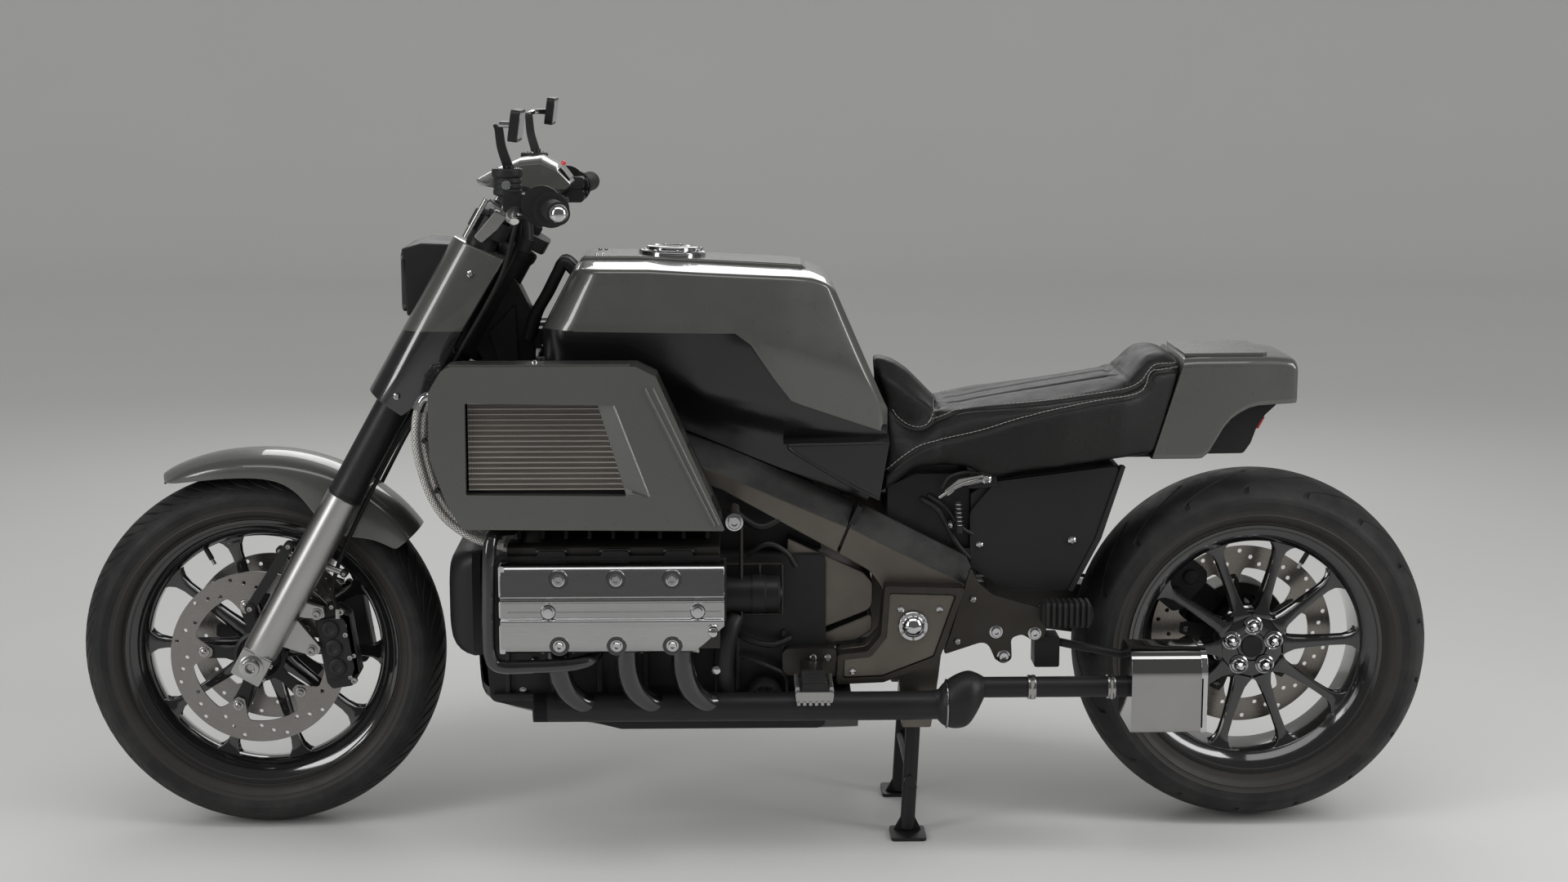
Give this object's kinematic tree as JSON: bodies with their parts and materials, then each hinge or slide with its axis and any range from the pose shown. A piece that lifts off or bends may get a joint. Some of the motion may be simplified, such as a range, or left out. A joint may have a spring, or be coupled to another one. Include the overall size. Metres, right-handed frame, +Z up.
{
  "type": "cruiser motorcycle",
  "caption": "Low full-size cruiser motorcycle with a flat-six engine, side radiator pods, twin-spar frame, single-sided rear arm, saddle and short tail, on its centre stand.",
  "frame": {"origin": "on the ground, under the middle of the motorcycle's length and width", "axes": "+X to the rear, +Y to the rider's right, +Z up"},
  "size_m": [2.301, 0.855, 1.232],
  "materials": {
    "paint": "glossy warm grey-green paint",
    "gloss_black": "gloss black",
    "satin_black": "satin black powder coat",
    "frame_alloy": "bronze-grey anodised aluminium",
    "cast_alloy": "dark cast alloy",
    "aluminium": "bare satin aluminium",
    "polished_alloy": "polished alloy",
    "chrome": "mirror chrome",
    "steel": "ground steel",
    "braid": "braided steel sleeve",
    "leather": "black grained leather with light seams",
    "tyre": "black rubber with a fine tread"
  },
  "bodies": {
    "chassis": {"steering_head": "cast_alloy", "frame_spar_left": "frame_alloy", "frame_spar_right": "frame_alloy", "rear_subframe": "satin_black", "engine_block": "satin_black", "valve_cover_left": "polished_alloy", "valve_cover_right": "polished_alloy", "belly_pan": "satin_black", "radiator_shroud_left": "paint", "radiator_shroud_right": "paint", "radiator_core_left": "frame_alloy", "radiator_core_right": "frame_alloy", "coolant_hoses_left": "braid", "coolant_hoses_right": "braid", "fuel_tank": "paint", "tank_lower_cover": "gloss_black", "seat": "leather", "tail_cowl": "paint", "tail_lamp": "gloss_black", "swingarm": "cast_alloy", "exhaust_pipe_left": "satin_black", "exhaust_pipe_right": "satin_black", "muffler_left": "chrome", "muffler_right": "chrome", "side_cover_left": "aluminium", "side_cover_right": "aluminium", "footpeg_left": "aluminium", "footpeg_right": "aluminium", "passenger_peg_left": "cast_alloy", "passenger_peg_right": "cast_alloy"},
    "steering": {"steering_stem": "aluminium", "fork_leg_left": "aluminium", "fork_leg_right": "aluminium", "fork_cover_left": "paint", "fork_cover_right": "paint", "front_axle": "steel", "front_caliper_left": "satin_black", "front_caliper_right": "satin_black", "front_fender": "paint", "headlight": "gloss_black", "instrument_cowl": "paint", "handlebar": "satin_black", "mirror_left": "chrome", "mirror_right": "chrome"},
    "front_wheel": {"front_tyre": "tyre", "front_rim": "gloss_black", "front_disc_left": "steel", "front_disc_right": "steel"},
    "rear_wheel": {"rear_tyre": "tyre", "rear_rim": "gloss_black", "rear_disc": "steel"},
    "centre_stand": {"centre_stand": "satin_black"},
    "side_stand": {"side_stand": "satin_black"}
  },
  "joints": [
    {"name": "steering", "type": "hinge", "parent": "chassis", "child": "steering", "pos_m": [-0.50997, 0, 0.79], "axis": [0.4886, 0, 0.8725], "range_deg": [-32, 32]},
    {"name": "front_wheel_spin", "type": "hinge", "parent": "steering", "child": "front_wheel", "pos_m": [-0.8435, 0, 0.307], "axis": [0, 1, 0], "continuous": true},
    {"name": "rear_wheel_spin", "type": "hinge", "parent": "chassis", "child": "rear_wheel", "pos_m": [0.8465, 0, 0.307], "axis": [0, 1, 0], "continuous": true},
    {"name": "centre_stand_fold", "type": "hinge", "parent": "chassis", "child": "centre_stand", "pos_m": [0.262, 0, 0.218], "axis": [0, -1, 0], "range_deg": [0, 88]},
    {"name": "side_stand_swing", "type": "hinge", "parent": "chassis", "child": "side_stand", "pos_m": [0.031, -0.185, 0.238], "axis": [0.05, 0.9392, -0.3397], "range_deg": [0, 100], "stiffness_Nm_per_rad": 3, "springref_deg": -45.84}
  ]
}
